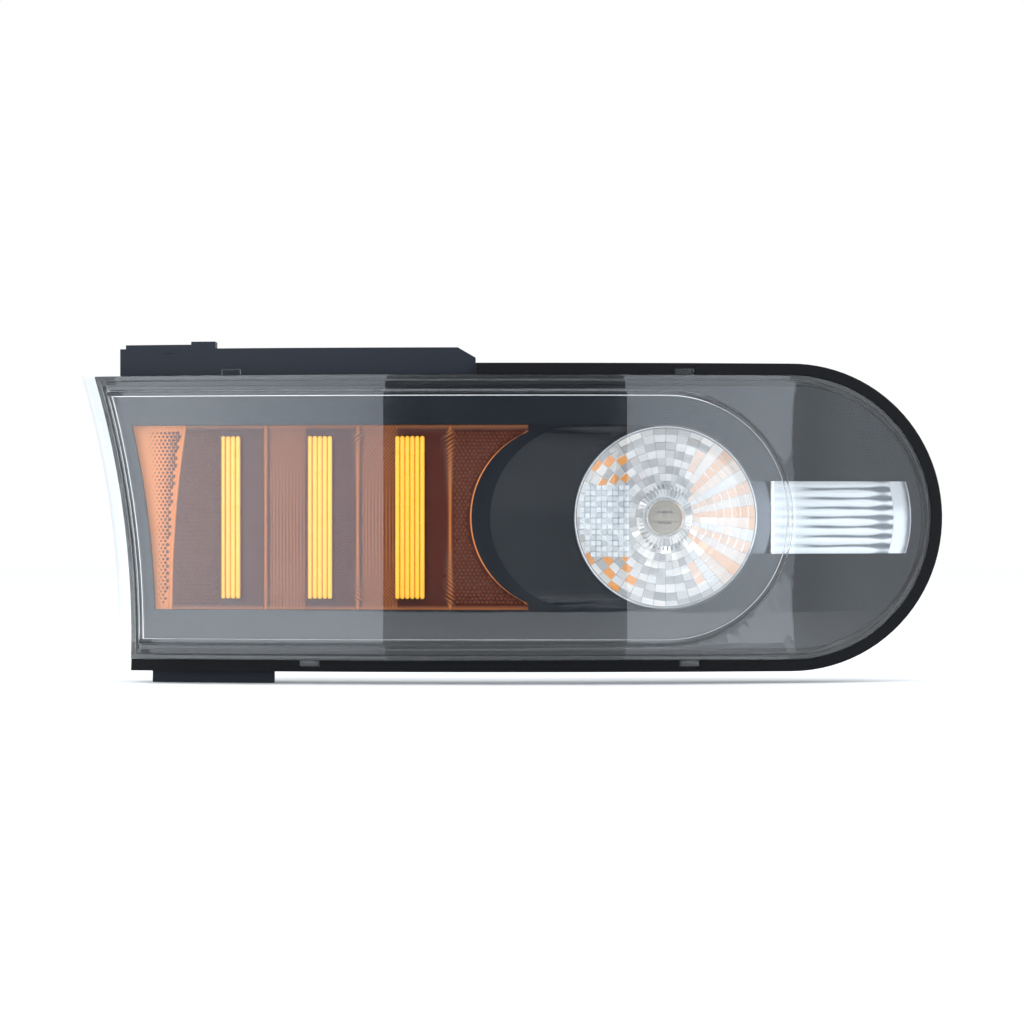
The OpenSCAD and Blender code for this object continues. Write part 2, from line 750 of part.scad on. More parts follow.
translate(-origin) housing();
translate(-origin) lens_cover();
translate(-origin) lens_seal();
translate(-origin) rim_gasket();
translate(-origin) bezel();
translate(-origin) turn_reflector();
translate(-origin) inner_lens();
translate(-origin) strip_reflector();
translate(-origin) strip_lens();
translate(-origin) amber_lens();
translate(-origin) amber_bar_inner();
translate(-origin) amber_bar_middle();
translate(-origin) amber_bar_outer();
translate(-origin) marker_reflector();
translate(-origin) upper_bracket();
translate(-origin) lower_bracket();
translate(-origin) bezel_screws();
translate(-origin) reflector_screws();
translate(-origin) bracket_screws();
translate(-origin) bolt_bushes();
translate(-origin) locating_pin();
translate(-origin) vent_caps();
translate(-origin) vent_filters();
translate(-origin) turn_socket();
translate(-origin) turn_gasket();
translate(-origin) turn_terminals();
translate(-origin) turn_bulb_base();
translate(-origin) turn_bulb_glass();
translate(-origin) turn_bulb_filaments();
translate(-origin) marker_socket();
translate(-origin) marker_gasket();
translate(-origin) marker_terminals();
translate(-origin) marker_bulb_glass();
translate(-origin) marker_bulb_filament();
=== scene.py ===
"""Finished pieces of a car's front corner lamp, built around its CAD frame and set on a pale floor.

Sizes are in metres. Pieces are drawn from the turn-signal axis, with Y = 0 at the foremost point of
the seam between lens and housing, and "place" moves them to where the frame has them.
"""
import json
import math

import bmesh
import bpy
from bpy.props import FloatProperty, FloatVectorProperty, IntProperty, PointerProperty
from bpy.types import Operator, Panel, PropertyGroup
from mathutils import Matrix, Vector


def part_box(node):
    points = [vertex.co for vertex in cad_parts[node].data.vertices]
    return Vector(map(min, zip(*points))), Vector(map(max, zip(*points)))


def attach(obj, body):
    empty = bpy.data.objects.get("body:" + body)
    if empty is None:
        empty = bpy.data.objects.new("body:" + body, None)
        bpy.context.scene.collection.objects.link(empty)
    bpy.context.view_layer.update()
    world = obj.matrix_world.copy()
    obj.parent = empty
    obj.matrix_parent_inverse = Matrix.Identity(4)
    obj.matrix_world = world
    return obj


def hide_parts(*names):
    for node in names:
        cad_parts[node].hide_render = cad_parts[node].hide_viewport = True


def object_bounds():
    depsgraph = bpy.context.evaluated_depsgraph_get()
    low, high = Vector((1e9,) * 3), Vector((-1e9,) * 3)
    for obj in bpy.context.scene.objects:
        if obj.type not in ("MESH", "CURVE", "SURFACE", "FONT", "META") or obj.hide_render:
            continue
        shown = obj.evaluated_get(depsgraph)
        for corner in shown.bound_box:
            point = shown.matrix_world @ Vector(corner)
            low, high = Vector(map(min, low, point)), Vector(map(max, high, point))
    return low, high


bl_info = {
    "name": "Front corner lamp",
    "version": (1, 0, 0),
    "blender": (4, 5, 0),
    "location": "View3D > Sidebar > Lamp",
    "description": "Builds the finished pieces of a front corner lamp round its CAD frame",
    "category": "Object",
}

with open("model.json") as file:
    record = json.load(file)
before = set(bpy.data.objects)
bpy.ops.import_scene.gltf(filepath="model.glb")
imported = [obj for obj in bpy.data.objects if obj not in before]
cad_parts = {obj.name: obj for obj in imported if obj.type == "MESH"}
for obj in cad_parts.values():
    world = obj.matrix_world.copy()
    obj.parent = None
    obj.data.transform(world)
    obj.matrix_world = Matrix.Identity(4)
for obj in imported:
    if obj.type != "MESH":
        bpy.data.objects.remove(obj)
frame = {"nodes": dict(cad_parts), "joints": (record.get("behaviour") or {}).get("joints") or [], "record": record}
cad_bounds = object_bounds()

MM = 0.001
JOINTS = {joint["name"]: joint for joint in frame["joints"]}
TURN_AXIS = Vector(JOINTS["turn_socket_twist"]["pos_m"])
BODY_OF = {node: body for body, nodes in frame["record"]["behaviour"]["bodies"].items() for node in nodes}

# The lamp's outline and bend, as its CAD has them
FACE_H = 26 * MM
END_R = 72 * MM
END_X = 64.5 * MM
EDGE_R = 454 * MM
EDGE_X = -278 * MM - EDGE_R
EDGE_Z = -60 * MM
WRAP_R = 600 * MM
WRAP_X = -77 * MM
SLOT_R = 46.5 * MM
RIM_R = 53.1 * MM
PANEL_Y = -14.5 * MM
WINDOW_EDGE = 20 * MM
BITE_X = -51 * MM
PANEL_END = -69 * MM
STEP_X = -108.5 * MM
RIDGE_X = -250 * MM
LOUVRE_W = 46.5 * MM
CELLS_START = -275 * MM
CELLS_END = -225.5 * MM
STRIP_H = 18.3 * MM
STRIP_END_R = 61 * MM
DOME_R = 140 * MM
CRYSTAL_T = 2 * MM

SEAM_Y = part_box("lens_cover")[0].y + FACE_H
SHIFT = Vector((TURN_AXIS.x, SEAM_Y, TURN_AXIS.z))
FLOOR_Z = cad_bounds[0][2]


def sag(x):
    """How far the bent surfaces lie back at a place along the lamp."""
    return WRAP_R - math.sqrt(WRAP_R ** 2 - (x - WRAP_X) ** 2)


def in_lamp(node):
    """A CAD node's box, measured from the lamp's own zero point."""
    low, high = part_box(node)
    return low - SHIFT, high - SHIFT


# ---------- sizes and colours a user would change ----------

def length(name, text, default):
    return FloatProperty(name=name, description=text, default=default, min=0, precision=5,
                         unit="LENGTH", subtype="DISTANCE")


def paint(name, text, default):
    return FloatVectorProperty(name=name, description=text, default=default, size=3, min=0, max=1,
                               subtype="COLOR")


class LampSizes(PropertyGroup):
    lens_round: length("Lens edge radius", "Rounding of the outer lens's edges", 1.3 * MM)
    gasket_round: length("Gasket edge radius", "Rounding of the rim gasket's edges", 0.8 * MM)
    panel_t: length("Amber panel", "Thickness of the amber panel", 2 * MM)
    ridge_h: length("Louvre ridge", "How far the amber panel's ridges stand proud", 1.5 * MM)
    flute_p: length("Flute pitch", "Pitch of the fine flutes on the amber panel", 1.7 * MM)
    cell_p: length("Reflex cell", "Width of one honeycomb cell", 2.1 * MM)
    rib_p: length("Bar rib pitch", "Pitch of the ribs on the amber bars", 2.5 * MM)
    dish_depth: length("Bowl depth", "Depth of the turn signal's bowl", 31 * MM)
    pillow_p: length("Pillow pitch", "Pitch of the crystal's square pillows", 2.8 * MM)
    facet_lean: FloatProperty(name="Facet lean", description="How far each facet of the bowl is tilted",
                              default=0.14, min=0, max=0.5)
    facet_rings: IntProperty(name="Facet rings", description="Rings of facets in the turn reflector",
                             default=9, min=3, max=20)
    facet_count: IntProperty(name="Facets round", description="Facets in each ring of the turn reflector",
                             default=44, min=12, max=96)
    strip_flutes: IntProperty(name="Strip flutes", description="Flutes across the clear strip",
                              default=8, min=3, max=20)


class LampColours(PropertyGroup):
    plastic: paint("Housing", "Black plastic of the housing", (0.012, 0.012, 0.014))
    bracket: paint("Brackets", "Plastic of the two brackets", (0.012, 0.015, 0.022))
    rubber: paint("Rim gasket", "Rubber of the rim gasket", (0.003, 0.003, 0.004))
    bezel: paint("Bezel", "Gloss black of the bezel", (0.008, 0.010, 0.014))
    amber: paint("Amber", "Deep colour of the amber panel", (0.075, 0.008, 0.002))
    # painted highlight: the colour painted on the amber panel's ridges and edges, which also glow in it
    painted_highlight: paint("Lit amber", "Colour of the panel's ridges and edges", (0.95, 0.30, 0.07))
    # the bars' own yellow, also painted as a highlight on the ribs' fronts and given off as their glow
    bar: paint("Bars", "Colour of the fluted bars", (1.0, 0.50, 0.03))
    # painted shade: the darker colour painted between the ribs of the bars and on their strip
    groove_shade: paint("Bar grooves", "Colour between the ribs of the bars", (0.62, 0.17, 0.005))
    # painted reflections of the amber bulb in the crystal's facets, which also glow in this colour
    glint: paint("Crystal glints", "Amber glints in the turn signal's crystal", (1.0, 0.42, 0.10))


# ---------- materials ----------

def grain_group():
    """Node group: mottled colour, uneven roughness and a fine moulded grain on object coordinates."""
    group = bpy.data.node_groups.get("moulded_grain")
    if group:
        return group
    group = bpy.data.node_groups.new("moulded_grain", "ShaderNodeTree")
    for name, kind in (("Colour", "Color"), ("Mottle", "Color"), ("Grain Scale", "Float"),
                       ("Roughness", "Float"), ("Roughness Spread", "Float")):
        group.interface.new_socket(name, in_out="INPUT", socket_type="NodeSocket" + kind)
    for name, kind in (("Colour", "Color"), ("Roughness", "Float"), ("Height", "Float")):
        group.interface.new_socket(name, in_out="OUTPUT", socket_type="NodeSocket" + kind)
    nodes, links = group.nodes, group.links
    start, end = nodes.new("NodeGroupInput"), nodes.new("NodeGroupOutput")
    place_at = nodes.new("ShaderNodeTexCoord")
    cloud = nodes.new("ShaderNodeTexNoise")
    cloud.inputs["Scale"].default_value = 45
    cloud.inputs["Detail"].default_value = 4
    fine = nodes.new("ShaderNodeTexNoise")
    fine.inputs["Detail"].default_value = 2
    tint = nodes.new("ShaderNodeMix")
    tint.data_type = "RGBA"
    spread = nodes.new("ShaderNodeMath")
    spread.operation = "MULTIPLY_ADD"
    for texture in (cloud, fine):
        links.new(place_at.outputs["Object"], texture.inputs["Vector"])
    links.new(start.outputs["Grain Scale"], fine.inputs["Scale"])
    links.new(cloud.outputs["Fac"], tint.inputs["Factor"])
    links.new(start.outputs["Colour"], tint.inputs[6])
    links.new(start.outputs["Mottle"], tint.inputs[7])
    links.new(cloud.outputs["Fac"], spread.inputs[0])
    links.new(start.outputs["Roughness Spread"], spread.inputs[1])
    links.new(start.outputs["Roughness"], spread.inputs[2])
    links.new(tint.outputs[2], end.inputs["Colour"])
    links.new(spread.outputs[0], end.inputs["Roughness"])
    links.new(fine.outputs["Fac"], end.inputs["Height"])
    return group


def blank(name):
    """An empty node material with its Principled shader joined to the output."""
    material = bpy.data.materials.new(name)
    material.use_nodes = True
    nodes, links = material.node_tree.nodes, material.node_tree.links
    nodes.clear()
    output = nodes.new("ShaderNodeOutputMaterial")
    shader = nodes.new("ShaderNodeBsdfPrincipled")
    links.new(shader.outputs[0], output.inputs["Surface"])
    return material, nodes, links, shader, output


def set_sockets(shader, sockets):
    """Sets the shader's own sockets, named with underscores for spaces."""
    for socket, value in sockets.items():
        shader.inputs[socket.replace("_", " ")].default_value = value


def grained(name, colour, roughness, grain=900, depth=0.02, spread=0.12, mottle=1.25, **sockets):
    """A moulded or metal finish: the grain group drives colour, roughness and a fine bump."""
    material, nodes, links, shader, _ = blank(name)
    grain_node = nodes.new("ShaderNodeGroup")
    grain_node.node_tree = grain_group()
    grain_node.inputs["Colour"].default_value = (*colour, 1)
    grain_node.inputs["Mottle"].default_value = (*(min(1, c * mottle) for c in colour), 1)
    grain_node.inputs["Grain Scale"].default_value = grain
    grain_node.inputs["Roughness"].default_value = roughness - spread / 2
    grain_node.inputs["Roughness Spread"].default_value = spread
    bump = nodes.new("ShaderNodeBump")
    bump.inputs["Strength"].default_value = depth * 10
    bump.inputs["Distance"].default_value = 0.1 * MM
    links.new(grain_node.outputs["Colour"], shader.inputs["Base Color"])
    links.new(grain_node.outputs["Roughness"], shader.inputs["Roughness"])
    links.new(grain_node.outputs["Height"], bump.inputs["Height"])
    links.new(bump.outputs["Normal"], shader.inputs["Normal"])
    set_sockets(shader, sockets)
    return material


def clear(name, colour, roughness, ior, flow=0.0):
    """Clear plastic or glass that lets light straight through to what stands behind it."""
    material, nodes, links, shader, output = blank(name)
    shader.inputs["Base Color"].default_value = (*colour, 1)
    shader.inputs["Roughness"].default_value = roughness
    shader.inputs["IOR"].default_value = ior
    shader.inputs["Transmission Weight"].default_value = 1
    if flow:
        place_at = nodes.new("ShaderNodeTexCoord")
        ripple = nodes.new("ShaderNodeTexNoise")
        ripple.inputs["Scale"].default_value = 14
        bump = nodes.new("ShaderNodeBump")
        bump.inputs["Strength"].default_value = flow
        bump.inputs["Distance"].default_value = 0.5 * MM
        links.new(place_at.outputs["Object"], ripple.inputs["Vector"])
        links.new(ripple.outputs["Fac"], bump.inputs["Height"])
        links.new(bump.outputs["Normal"], shader.inputs["Normal"])
    light = nodes.new("ShaderNodeLightPath")
    through = nodes.new("ShaderNodeBsdfTransparent")
    through.inputs["Color"].default_value = (*colour, 1)
    either = nodes.new("ShaderNodeMixShader")
    links.new(light.outputs["Is Shadow Ray"], either.inputs[0])
    links.new(shader.outputs[0], either.inputs[1])
    links.new(through.outputs[0], either.inputs[2])
    links.new(either.outputs[0], output.inputs["Surface"])
    return material


def ramp(nodes, links, factor, colours):
    """A colour ramp with its stops spread evenly from 0 to 1, driven by a factor."""
    node = nodes.new("ShaderNodeValToRGB")
    stops = node.color_ramp.elements
    while len(stops) < len(colours):
        stops.new(0.5)
    for i, colour in enumerate(colours):
        stops[i].position = i / (len(colours) - 1)
        stops[i].color = (*colour, 1)
    links.new(factor, node.inputs[0])
    return node.outputs["Color"]


def painted_light_material(name, colours, glows, roughness, strength, **sockets):
    """Moulding with painted light: the mesh's own "lit" attribute paints highlights, reflections and shade into
    its colour, and makes the marked ridges, edges or facets glow.
    """
    material, nodes, links, shader, _ = blank(name)
    lit = nodes.new("ShaderNodeAttribute")
    lit.attribute_name = "lit"
    place_at = nodes.new("ShaderNodeTexCoord")
    cloud = nodes.new("ShaderNodeTexNoise")
    cloud.inputs["Scale"].default_value = 60
    uneven = nodes.new("ShaderNodeMath")
    uneven.operation = "MULTIPLY_ADD"
    uneven.inputs[1].default_value = 0.16
    uneven.inputs[2].default_value = roughness - 0.08
    links.new(place_at.outputs["Object"], cloud.inputs["Vector"])
    links.new(cloud.outputs["Fac"], uneven.inputs[0])
    links.new(uneven.outputs[0], shader.inputs["Roughness"])
    links.new(ramp(nodes, links, lit.outputs["Fac"], colours), shader.inputs["Base Color"])
    links.new(ramp(nodes, links, lit.outputs["Fac"], glows), shader.inputs["Emission Color"])
    # painted glow: the marked places give off the ramp's colour as light of their own
    shader.inputs["Emission Strength"].default_value = strength
    shader.inputs["Coat Weight"].default_value = 0.6
    shader.inputs["IOR"].default_value = 1.49
    set_sockets(shader, sockets)
    return material


MATERIALS = {}
BLACK = (0, 0, 0)
WHITE = (0.95, 0.97, 1.0)


def make_materials():
    """Makes each finish once, from the colours in the panel."""
    colours = bpy.context.scene.lamp_colours
    MATERIALS.update({
        "housing_plastic": grained("housing_plastic", colours.plastic, 0.42, grain=1400, depth=0.03),
        "bracket_plastic": grained("bracket_plastic", colours.bracket, 0.5, grain=1200, depth=0.03,
                                   Specular_IOR_Level=0.2),
        "black_gloss": grained("black_gloss", colours.bezel, 0.16, grain=24, depth=0.0004, spread=0.05,
                               Specular_IOR_Level=0.36),
        "rim_rubber": grained("rim_rubber", colours.rubber, 0.55, grain=1600, depth=0.03,
                              Specular_IOR_Level=0.15),
        "butyl_seal": grained("butyl_seal", (0.03, 0.03, 0.032), 0.75, grain=500, depth=0.06),
        "seal_rubber": grained("seal_rubber", (0.03, 0.03, 0.03), 0.65, grain=1500, depth=0.03),
        "vent_rubber": grained("vent_rubber", (0.016, 0.016, 0.017), 0.6, grain=1500, depth=0.03),
        "socket_plastic": grained("socket_plastic", (0.09, 0.09, 0.095), 0.5, grain=1300, depth=0.03),
        "bulb_base": grained("bulb_base", (0.82, 0.84, 0.88), 0.45, grain=1300, depth=0.03),
        "nylon_pin": grained("nylon_pin", (0.72, 0.71, 0.66), 0.5, grain=700, mottle=1.05,
                             Subsurface_Weight=0.2),
        "filter_felt": grained("filter_felt", (0.8, 0.8, 0.78), 0.95, grain=2500, depth=0.09),
        "zinc_screws": grained("zinc_screws", (0.62, 0.61, 0.58), 0.32, grain=600, Metallic=1),
        "zinc_bush": grained("zinc_bush", (0.60, 0.55, 0.40), 0.38, grain=600, Metallic=1),
        "terminal_brass": grained("terminal_brass", (0.75, 0.53, 0.22), 0.28, grain=900, Metallic=1),
        "filament_wire": grained("filament_wire", (0.35, 0.35, 0.36), 0.35, grain=2000, Metallic=1),
        "silvered": grained("silvered", (0.94, 0.94, 0.96), 0.14, grain=60, depth=0.002, spread=0.06,
                            mottle=1.02, Metallic=0.75),
        # painted light: crests of the strip's flutes painted white and glowing, grooves painted grey as shade
        "bright_flutes": painted_light_material("bright_flutes", ((0.30, 0.33, 0.38), WHITE), (BLACK, WHITE), 0.2, 0.2),
        # painted reflections: the bowl's facets painted grey, white or amber for what they would reflect, and
        # glowing
        "crystal_facets": painted_light_material("crystal_facets", ((0.30, 0.33, 0.38), WHITE, colours.glint),
                                     (BLACK, WHITE, colours.glint), 0.12, 0.34, Metallic=0.45),
        # painted light: the crystal's pillows painted from grey to white, and glowing
        "crystal_pillows": painted_light_material("crystal_pillows", ((0.42, 0.45, 0.50), WHITE), (BLACK, WHITE),
                                      0.15, 0.12),
        "marker_tray": grained("marker_tray", (0.62, 0.28, 0.08), 0.3, grain=200, Metallic=0.6),
        "clear_lens": clear("clear_lens", (0.97, 0.985, 0.98), 0.0, 1.49, flow=0.02),
        "clear_optic": clear("clear_optic", (0.98, 0.985, 0.99), 0.0, 1.49),
        "bulb_glass": clear("bulb_glass", (0.98, 0.91, 0.82), 0.0, 1.45),
        "marker_glass": clear("marker_glass", (0.95, 0.95, 0.93), 0.0, 1.45),
        # painted highlights and glow on the amber panel's ridges and edges
        "amber_plastic": painted_light_material("amber_plastic", (colours.amber, colours.painted_highlight), (BLACK, colours.painted_highlight),
                                    0.3, 0.12, Coat_Weight=0.1, Specular_IOR_Level=0.25),
        # painted highlights and glow on the bars' ribs, painted shade between them
        "yellow_optic": painted_light_material("yellow_optic", (colours.groove_shade, colours.bar), (BLACK, colours.bar),
                                   0.28, 0.3),
    })


# ---------- mesh helpers ----------

def arc(bm, vert, centre, angle, steps):
    """Turns a vertex about an axis along Y, leaving a chain of edges, and returns its last vertex."""
    out = bmesh.ops.spin(bm, geom=[vert], cent=centre, axis=(0, 1, 0), dvec=(0, 0, 0), angle=angle,
                         steps=steps, use_merge=False, use_duplicate=False)
    return next(item for item in out["geom_last"] if isinstance(item, bmesh.types.BMVert))


def edge_x(z, step):
    """X of the concave inner edge at a height, stepped in from the flange."""
    return EDGE_X + math.sqrt((EDGE_R + step) ** 2 - (z - EDGE_Z) ** 2)


def outline(bm, half, step, end_at, depth):
    """One closed outline of the lamp: round end, straight top and bottom, concave inner edge."""
    before = set(bm.edges)
    start = bm.verts.new((end_at, depth, -half))
    top = arc(bm, start, (end_at, depth, 0), -math.pi, 48)
    corner = bm.verts.new((edge_x(half, step), depth, half))
    bm.edges.new((top, corner))
    turn = math.asin((half - EDGE_Z) / (EDGE_R + step)) - math.asin((-half - EDGE_Z) / (EDGE_R + step))
    last = arc(bm, corner, (EDGE_X, depth, EDGE_Z), turn, 20)
    bm.edges.new((last, start))
    return [edge for edge in bm.edges if edge not in before]


def stack(bm, rows):
    """Outlines joined one to the next. Each row is (half height, step, end centre, depth)."""
    loops = [outline(bm, *row) for row in rows]
    for i, (one, other) in enumerate(zip(loops, loops[1:])):
        if rows[i][3] == rows[i + 1][3]:
            bmesh.ops.triangle_fill(bm, use_beauty=True, edges=one + other)
        else:
            bmesh.ops.bridge_loops(bm, edges=one + other)
    return loops


def bend(bm, pitch=7 * MM):
    """Cuts the mesh across every few millimetres and lays it on the lamp's bend."""
    low = min(v.co.x for v in bm.verts)
    high = max(v.co.x for v in bm.verts)
    for i in range(1, int((high - low) / pitch) + 1):
        bmesh.ops.bisect_plane(bm, geom=bm.verts[:] + bm.edges[:] + bm.faces[:], dist=1e-7,
                               plane_co=(low + i * pitch, 0, 0), plane_no=(1, 0, 0))
    for v in bm.verts:
        v.co.y += sag(v.co.x)


def round_edges(bm, edges, offset, segments=3):
    bmesh.ops.bevel(bm, geom=edges, offset=offset, offset_type="OFFSET", segments=segments, profile=0.5,
                    affect="EDGES", material=-1, clamp_overlap=True)


def all_edges(verts):
    """The edges that meet at some vertices."""
    return list({edge for v in verts for edge in v.link_edges})


def edges_at(bm, low, high):
    """Sharp edges with both ends between two depths, of a mesh that isn't bent yet."""
    return [e for e in bm.edges if all(low <= v.co.y <= high for v in e.verts)
            and len(e.link_faces) == 2 and e.calc_face_angle(0) > 0.6]


def shade(bm, sharp=35):
    """Smooth shading, with the edges past an angle kept crisp."""
    for face in bm.faces:
        face.smooth = True
    for edge in bm.edges:
        edge.smooth = len(edge.link_faces) == 2 and edge.calc_face_angle(0) < math.radians(sharp)


def piece(bm, name, slot, node, material=None, replaces=True, sharp=35, place=True):
    """Puts a finished mesh in the frame as a piece that rides with a CAD node's body."""
    if place:
        bmesh.ops.translate(bm, verts=bm.verts, vec=SHIFT)
    shade(bm, sharp)
    mesh = bpy.data.meshes.new(name)
    bm.to_mesh(mesh)
    bm.free()
    made = bpy.data.objects.new(name, mesh)
    bpy.context.scene.collection.objects.link(made)
    mesh.materials.append(MATERIALS[material or slot])
    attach(made, BODY_OF[node])
    if replaces:
        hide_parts(node)
    return made


def weigh_normals(made):
    """Flat faces keep their own direction, and rounded edges blend between them."""
    weigh = made.modifiers.new("normals", "WEIGHTED_NORMAL")
    weigh.keep_sharp = True


def give_wall(made, thickness):
    """Turns an open skin into a closed wall, thickened towards its back."""
    wall = made.modifiers.new("wall", "SOLIDIFY")
    wall.thickness = thickness
    wall.offset = -1


def face_forward(bm):
    """Turns an open skin's faces to the front of the lamp."""
    bmesh.ops.recalc_face_normals(bm, faces=bm.faces)
    if sum(f.normal.y for f in bm.faces) > 0:
        bmesh.ops.reverse_faces(bm, faces=bm.faces)


def full_turn(bm, steps):
    """Spins the whole mesh round the turn signal's axis and closes it on itself."""
    bmesh.ops.spin(bm, geom=bm.verts[:] + bm.edges[:], cent=(0, 0, 0), axis=(0, 1, 0), dvec=(0, 0, 0),
                   angle=2 * math.pi, steps=steps, use_merge=True, use_duplicate=False)


def chain(bm, places):
    """A row of vertices joined by edges."""
    verts = [bm.verts.new(place) for place in places]
    for pair in zip(verts, verts[1:]):
        bm.edges.new(pair)


def box_at(bm, size, place):
    """A small block with its middle at a place. Returns its vertices."""
    cube = bmesh.ops.create_cube(bm, size=1)["verts"]
    bmesh.ops.scale(bm, verts=cube, vec=size)
    bmesh.ops.translate(bm, verts=cube, vec=place)
    return cube


def dressed(node, name, slot, material=None, soft=0.3 * MM):
    """A CAD node's own shape, cleaned and with its hard edges rounded."""
    bm = bmesh.new()
    bm.from_mesh(frame["nodes"][node].data)
    bmesh.ops.remove_doubles(bm, verts=bm.verts, dist=2e-6)
    bmesh.ops.dissolve_limit(bm, angle_limit=math.radians(0.6), verts=bm.verts, edges=bm.edges,
                             use_dissolve_boundaries=False)
    made = piece(bm, name, slot, node, material, place=False)
    if soft:
        edge = made.modifiers.new("edges", "BEVEL")
        edge.width = soft
        edge.segments = 2
        edge.limit_method = "ANGLE"
        edge.angle_limit = math.radians(40)
        edge.use_clamp_overlap = True
    weigh_normals(made)


# ---------- pieces ----------

def build_outer_lens():
    """Clear outer lens: flange, lower tier and raised face, with a tongue behind the flange."""
    bm = bmesh.new()
    # half height and step of each outline in mm and the centre of its round end, then its depths in mm
    tier, flange, raised = (69.5, 9, END_X), (72, 0, END_X), (64, 11.5, 0)
    raised_inside, tier_inside = (61.5, 14, 0), (67, 11.5, END_X)
    outside = [(tier, 5), (tier, 0), (flange, 0), (flange, -3), (tier, -3), (tier, -12), (raised, -12),
               (raised, -26)]
    inside = [(raised_inside, -23.5), (raised_inside, -9.5), (tier_inside, -9.5), (tier_inside, 5)]
    shell, hollow = (stack(bm, [(half * MM, step * MM, end_at, depth * MM)
                                for (half, step, end_at), depth in part]) for part in (outside, inside))
    bmesh.ops.edgeloop_fill(bm, edges=shell[-1])
    bmesh.ops.edgeloop_fill(bm, edges=hollow[0])
    bmesh.ops.triangle_fill(bm, use_beauty=True, edges=shell[0] + hollow[-1])
    bmesh.ops.recalc_face_normals(bm, faces=bm.faces)
    size = bpy.context.scene.lamp_sizes.lens_round
    for low, high, share, segments in ((-26.1, -25.9, 1, 4), (-12.1, -11.9, 0.7, 3),
                                       (-23.6, -23.4, 0.6, 3), (-3.1, 0.1, 0.3, 2)):
        round_edges(bm, edges_at(bm, low * MM, high * MM), size * share, segments)
    bend(bm)
    for x, side in ((9.5, 1), (-220, 1), (12, -1), (-180, -1)):
        tab(bm, x * MM, side)
    weigh_normals(piece(bm, "outer_lens", "clear_lens", "lens_cover"))


def tab(bm, x, side):
    """Snap tab on the lens flange."""
    block = box_at(bm, (9.6 * MM, 1.8 * MM, 4 * MM), (x, sag(x) - 1.1 * MM, side * (END_R + 1.3 * MM)))
    round_edges(bm, all_edges(block), 0.4 * MM, 2)


def facet_painted_light(x, z, column, ring):
    """Painted reflection on a facet of the turn signal: 0 grey, 0.5 white and 1 amber."""
    # painted reflections: amber and white streaks fan out to the right of the bulb
    if x > 13 * MM and abs(z) < 32 * MM:
        return (0.78, 0.56, 0.70, 0.48, 0.62)[column % 5]
    # a third of the facets above and below the pillow block are painted amber, as reflections of the amber bulb
    beside = -41 * MM < x < -17 * MM and (17 * MM < z < 34 * MM or -38 * MM < z < -16 * MM)
    if beside and (column + 2 * ring) % 3 == 0:
        return 1.0
    # the rest are painted from grey to white as reflections, in a fixed scatter
    return 0.36 + 0.16 * math.sin(5.3 * column + 8.9 * ring)


def build_turn_reflector():
    """Faceted turn-signal bowl: each facet a raised pillow, tilted a little its own way."""
    sizes = bpy.context.scene.lamp_sizes
    mouth = in_lamp("turn_reflector")[0].y
    inner_r, outer_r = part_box("turn_bulb_glass")[1].x - TURN_AXIS.x + 0.7 * MM, SLOT_R - 0.5 * MM
    apex = mouth + sizes.dish_depth
    bm = bmesh.new()
    lit = bm.verts.layers.float.new("lit")
    radii = [inner_r + (outer_r - inner_r) * i / sizes.facet_rings for i in range(sizes.facet_rings + 1)]
    bowl = [(r, apex - sizes.dish_depth * (r / outer_r) ** 2, 0) for r in radii]
    chain(bm, bowl + [(RIM_R, mouth, 0)])
    full_turn(bm, sizes.facet_count)
    face_forward(bm)
    bm.normal_update()
    facets = [f for f in bm.faces if f.calc_center_median().xz.length < outer_r - 0.2 * MM]
    bmesh.ops.inset_individual(bm, faces=facets, thickness=0.3 * MM, depth=0.3 * MM)
    bm.normal_update()
    for facet in facets:
        centre, normal = facet.calc_center_median(), facet.normal.copy()
        outward = Vector((centre.x, 0, centre.z)).normalized()
        across = normal.cross(outward)
        column = round(math.atan2(centre.z, centre.x) / (2 * math.pi) * sizes.facet_count)
        ring = int((outward.dot(centre) - inner_r) / (outer_r - inner_r) * sizes.facet_rings)
        # on the right a column's facets lean alike, which makes its streak
        own = 0 if centre.x > 0.4 * outer_r else ring
        lean_across = sizes.facet_lean * math.sin(12.99 * column + 78.23 * own)
        lean_out = sizes.facet_lean * math.sin(39.35 * column + 11.13 * own)
        # each facet is painted with its reflection, as colour and as glow
        painted_tone = facet_painted_light(centre.x, centre.z, column, ring)
        for v in facet.verts:
            reach = v.co - centre
            v.co += normal * (lean_across * reach.dot(across) + lean_out * reach.dot(outward))
            v[lit] = painted_tone
    give_wall(piece(bm, "turn_bowl", "silvered", "turn_reflector", "crystal_facets", sharp=6), 1.2 * MM)


def build_turn_rim():
    """Bright ring that holds the crystal in the bowl's mouth."""
    centre = Vector((SLOT_R - 1.1 * MM, in_lamp("turn_reflector")[0].y - 0.2 * MM, 0))
    thickness = 0.8 * MM
    bm = bmesh.new()
    start = bm.verts.new(centre - Vector((thickness, 0, 0)))
    bmesh.ops.spin(bm, geom=[start], cent=centre, axis=(0, 0, 1), dvec=(0, 0, 0), angle=2 * math.pi,
                   steps=12, use_merge=True, use_duplicate=False)
    full_turn(bm, 128)
    bmesh.ops.remove_doubles(bm, verts=bm.verts, dist=1e-6)
    bmesh.ops.recalc_face_normals(bm, faces=bm.faces)
    piece(bm, "turn_rim", "silvered", "turn_reflector", replaces=False)


def dome(r):
    """How far the crystal's domed front lies back at a distance from its axis."""
    return DOME_R - math.sqrt(DOME_R ** 2 - r * r)


